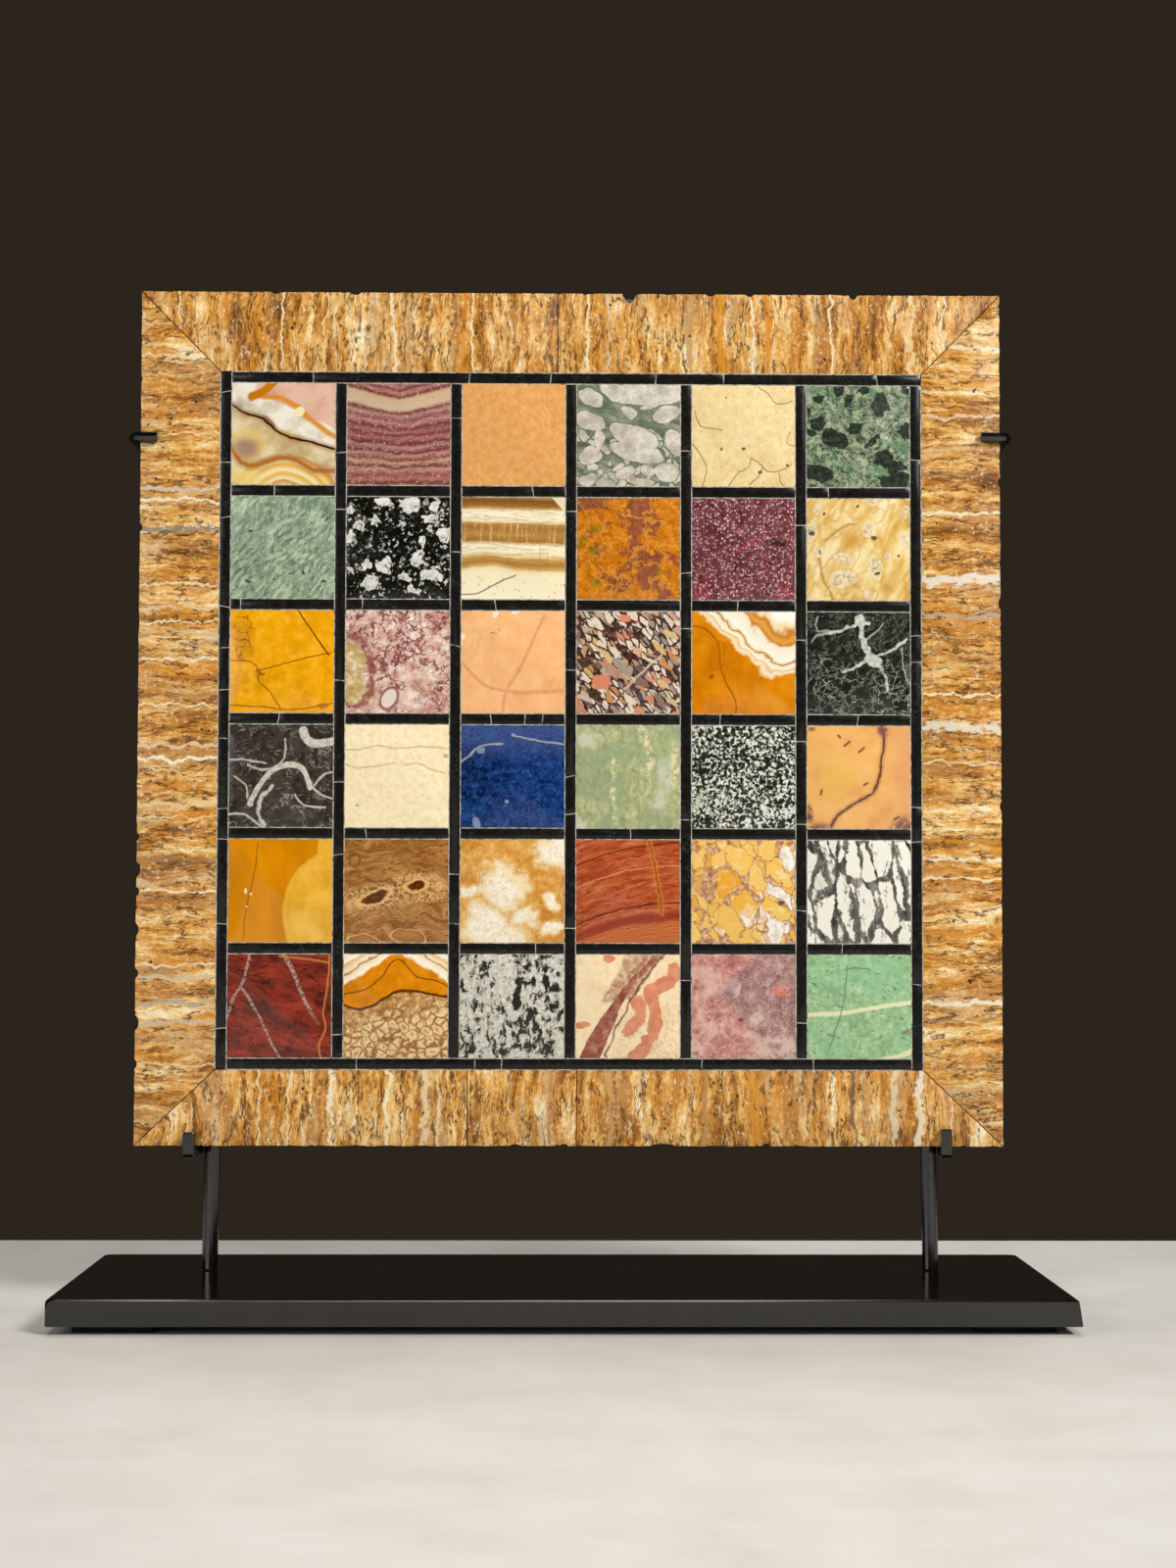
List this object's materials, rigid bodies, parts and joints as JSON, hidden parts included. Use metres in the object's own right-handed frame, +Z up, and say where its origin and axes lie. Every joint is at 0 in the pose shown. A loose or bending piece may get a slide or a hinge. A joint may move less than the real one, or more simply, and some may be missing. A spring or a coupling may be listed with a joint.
{
  "type": "marble specimen tablet",
  "caption": "Square inlaid tablet of polished marble specimens in a black lattice with a banded stone border, upright on a black steel stand.",
  "frame": {"origin": "centre of the stand's footprint, at the height of the surface it stands on", "axes": "+Z up, +X to the right seen from the front, the tablet's face looks along -Y"},
  "size_m": [0.357, 0.1285, 0.3748],
  "materials": {
    "black_painted_steel": "black paint, satin, worn at the edges",
    "black_rubber": "matte",
    "slate": "sawn, matte",
    "black_marble": "polished, lightly scratched",
    "banded_travertine": "polished, banded ochre, brown and cream",
    "flame_onyx": "polished, flame onyx",
    "plum_banded_alabaster": "polished, plum banded alabaster",
    "apricot_marble": "polished, apricot marble",
    "pebble_conglomerate": "polished, pebble conglomerate",
    "cream_limestone": "polished, cream limestone",
    "serpentine_breccia": "polished, serpentine breccia",
    "sage_marble": "polished, sage marble",
    "black_and_white_breccia": "polished, black and white breccia",
    "banded_onyx": "polished, banded onyx",
    "leopard_jasper": "polished, leopard jasper",
    "red_porphyry": "polished, red porphyry",
    "shell_lumachella": "polished, shell lumachella",
    "siena_yellow": "polished, siena yellow",
    "plum_veined_alabaster": "polished, plum veined alabaster",
    "peach_marble": "polished, peach marble",
    "coloured_breccia": "polished, coloured breccia",
    "amber_agate": "polished, amber agate",
    "black_star_marble": "polished, black star marble",
    "charcoal_swirl_marble": "polished, charcoal swirl marble",
    "ivory_marble": "polished, ivory marble",
    "lapis_lazuli": "polished, lapis lazuli",
    "celadon_marble": "polished, celadon marble",
    "salt_and_pepper_granite": "polished, salt and pepper granite",
    "purple_veined_apricot": "polished, purple veined apricot",
    "honey_alabaster": "polished, honey alabaster",
    "wood_grain_alabaster": "polished, wood grain alabaster",
    "clouded_white_marble": "polished, clouded white marble",
    "arched_red_jasper": "polished, arched red jasper",
    "yellow_breccia": "polished, yellow breccia",
    "white_lozenge_marble": "polished, white lozenge marble",
    "dark_red_jasper": "polished, dark red jasper",
    "cellular_agate": "polished, cellular agate",
    "black_flecked_marble": "polished, black flecked marble",
    "maroon_veined_cream": "polished, maroon veined cream",
    "rose_marble": "polished, rose marble",
    "mint_green_marble": "polished, mint green marble"
  },
  "bodies": {
    "root": {"base_plate": "black_painted_steel", "rod_left": "black_painted_steel", "rod_right": "black_painted_steel", "hook_left": "black_painted_steel", "hook_right": "black_painted_steel", "clip_left": "black_painted_steel", "clip_right": "black_painted_steel", "foot_pad_front_left": "black_rubber", "foot_pad_front_right": "black_rubber", "foot_pad_back_left": "black_rubber", "foot_pad_back_right": "black_rubber", "backing_slab": "slate", "black_strip_lattice": "black_marble", "border_top_left": "banded_travertine", "border_top_right": "banded_travertine", "border_bottom_left": "banded_travertine", "border_bottom_middle": "banded_travertine", "border_bottom_right": "banded_travertine", "border_left": "banded_travertine", "border_right": "banded_travertine", "stone_11_flame_onyx": "flame_onyx", "stone_12_plum_banded_alabaster": "plum_banded_alabaster", "stone_13_apricot_marble": "apricot_marble", "stone_14_pebble_conglomerate": "pebble_conglomerate", "stone_15_cream_limestone": "cream_limestone", "stone_16_serpentine_breccia": "serpentine_breccia", "stone_21_sage_marble": "sage_marble", "stone_22_black_and_white_breccia": "black_and_white_breccia", "stone_23_banded_onyx": "banded_onyx", "stone_24_leopard_jasper": "leopard_jasper", "stone_25_red_porphyry": "red_porphyry", "stone_26_shell_lumachella": "shell_lumachella", "stone_31_siena_yellow": "siena_yellow", "stone_32_plum_veined_alabaster": "plum_veined_alabaster", "stone_33_peach_marble": "peach_marble", "stone_34_coloured_breccia": "coloured_breccia", "stone_35_amber_agate": "amber_agate", "stone_36_black_star_marble": "black_star_marble", "stone_41_charcoal_swirl_marble": "charcoal_swirl_marble", "stone_42_ivory_marble": "ivory_marble", "stone_43_lapis_lazuli": "lapis_lazuli", "stone_44_celadon_marble": "celadon_marble", "stone_45_salt_and_pepper_granite": "salt_and_pepper_granite", "stone_46_purple_veined_apricot": "purple_veined_apricot", "stone_51_honey_alabaster": "honey_alabaster", "stone_52_wood_grain_alabaster": "wood_grain_alabaster", "stone_53_clouded_white_marble": "clouded_white_marble", "stone_54_arched_red_jasper": "arched_red_jasper", "stone_55_yellow_breccia": "yellow_breccia", "stone_56_white_lozenge_marble": "white_lozenge_marble", "stone_61_dark_red_jasper": "dark_red_jasper", "stone_62_cellular_agate": "cellular_agate", "stone_63_black_flecked_marble": "black_flecked_marble", "stone_64_maroon_veined_cream": "maroon_veined_cream", "stone_65_rose_marble": "rose_marble", "stone_66_mint_green_marble": "mint_green_marble"}
  },
  "joints": []
}
